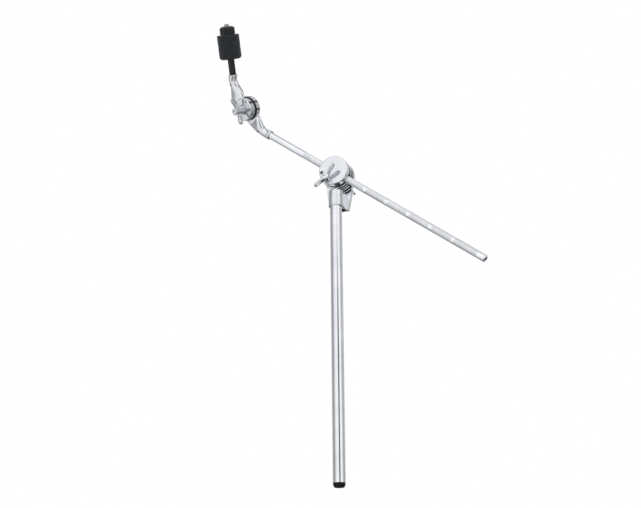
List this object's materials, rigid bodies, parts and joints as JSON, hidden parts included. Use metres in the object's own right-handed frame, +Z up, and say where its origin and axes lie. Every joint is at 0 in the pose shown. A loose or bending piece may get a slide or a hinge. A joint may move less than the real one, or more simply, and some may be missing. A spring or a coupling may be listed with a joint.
{
  "type": "cymbal boom stand",
  "caption": "Upper section of a cymbal stand: a straight post, a tilting clamp, a knurled boom rod and a small tilter with felts and a nut for a cymbal.",
  "frame": {"origin": "centre of the post tube's lower end, where it enters a stand's base tube", "axes": "+Z up the post; +X level, towards the side the boom's long free end points to; -Y the front, where the clamp's wing bolt is"},
  "size_m": [0.4233, 0.1417, 0.7697],
  "materials": {
    "chrome_plate": "polished",
    "cast_chrome": "polished casting",
    "knurled_steel": "fine diamond knurl, plated",
    "plated_steel": "zinc plated",
    "black_nylon": "matte",
    "black_knob": "satin",
    "black_rubber": "matte",
    "black_felt": "pressed felt",
    "brass": "turned"
  },
  "bodies": {
    "post": {"post_tube": "chrome_plate", "post_end_cap": "black_rubber", "base_casting": "cast_chrome", "post_roll_pin": "plated_steel", "tilt_friction_washer": "black_nylon"},
    "clamp": {"clamp_body": "cast_chrome", "tilt_pivot_bolt": "plated_steel", "clamp_gap_pads": "black_rubber", "clamp_guide_pin": "plated_steel"},
    "cap": {"clamp_cap": "cast_chrome", "clamp_bolt_washer": "plated_steel"},
    "clamp_wing": {"clamp_wing_head": "cast_chrome", "clamp_wing_stud": "plated_steel"},
    "tilt_washer": {"tilt_nut_washer": "plated_steel"},
    "tilt_wing": {"tilt_wing_nut": "cast_chrome"},
    "bush": {"rod_bush": "black_nylon"},
    "rod": {"boom_rod": "knurled_steel", "rod_holder": "cast_chrome", "rod_holder_pin": "plated_steel", "tilter_friction_washer": "black_nylon", "tilter_nut": "plated_steel"},
    "stem": {"stem_holder": "cast_chrome", "stem_holder_pin": "plated_steel", "cymbal_stem": "plated_steel", "stem_spacer": "black_nylon", "seat_washer": "black_nylon", "cymbal_sleeve": "black_nylon", "lower_felt": "black_felt", "upper_felt": "black_felt"},
    "tilter_washer": {"tilter_bolt_washer": "plated_steel"},
    "tilter_wing": {"tilter_wing_head": "cast_chrome", "tilter_wing_stud": "plated_steel"},
    "nut_washer": {"felt_washer": "black_nylon"},
    "nut": {"cymbal_nut": "black_knob", "nut_insert": "brass"}
  },
  "joints": [
    {"name": "boom_tilt", "type": "hinge", "parent": "post", "child": "clamp", "pos_m": [0, 0, 0.502], "axis": [0, -1, 0], "range_deg": [-22, 95]},
    {"name": "cap_release", "type": "slide", "parent": "clamp", "child": "cap", "axis": [0, -1, 0], "range_m": [0, 0.00125]},
    {"name": "clamp_wing_turn", "type": "hinge", "parent": "cap", "child": "clamp_wing", "pos_m": [-0.01016, 0, 0.48837], "axis": [0, -1, 0], "range_deg": [0, 450]},
    {"name": "tilt_release", "type": "slide", "parent": "clamp", "child": "tilt_washer", "axis": [0, 1, 0], "range_m": [0, 0.00156]},
    {"name": "tilt_wing_turn", "type": "hinge", "parent": "tilt_washer", "child": "tilt_wing", "pos_m": [0, 0, 0.502], "axis": [0, 1, 0], "range_deg": [0, 450]},
    {"name": "rod_spin", "type": "hinge", "parent": "clamp", "child": "bush", "pos_m": [0, 0, 0.502], "axis": [0.8018, 0, -0.5976], "continuous": true},
    {"name": "rod_slide", "type": "slide", "parent": "bush", "child": "rod", "axis": [0.8018, 0, -0.5976], "range_m": [-0.27, 0.115]},
    {"name": "stem_tilt", "type": "hinge", "parent": "rod", "child": "stem", "pos_m": [-0.15094, -0.01336, 0.63583], "axis": [-0.3679, -0.788, -0.4936], "range_deg": [-110, 60]},
    {"name": "tilter_release", "type": "slide", "parent": "rod", "child": "tilter_washer", "axis": [-0.3679, -0.788, -0.4936], "range_m": [0, 0.00156]},
    {"name": "tilter_wing_turn", "type": "hinge", "parent": "tilter_washer", "child": "tilter_wing", "pos_m": [-0.15094, -0.01336, 0.63583], "axis": [-0.3679, -0.788, -0.4936], "range_deg": [0, 450]},
    {"name": "nut_rise", "type": "slide", "parent": "stem", "child": "nut_washer", "axis": [0.0783, -0.5552, 0.828], "range_m": [0, 0.00375]},
    {"name": "nut_turn", "type": "hinge", "parent": "nut_washer", "child": "nut", "pos_m": [-0.17104, -0.00759, 0.6416], "axis": [0.0783, -0.5552, 0.828], "range_deg": [0, 1080]}
  ],
  "couplings": [
    {"joint": "clamp_wing_turn", "follows": "cap_release", "rad_per_m": 6283.2},
    {"joint": "tilt_wing_turn", "follows": "tilt_release", "rad_per_m": 5026.5},
    {"joint": "tilter_wing_turn", "follows": "tilter_release", "rad_per_m": 5026.5},
    {"joint": "nut_turn", "follows": "nut_rise", "rad_per_m": 5026.5}
  ]
}
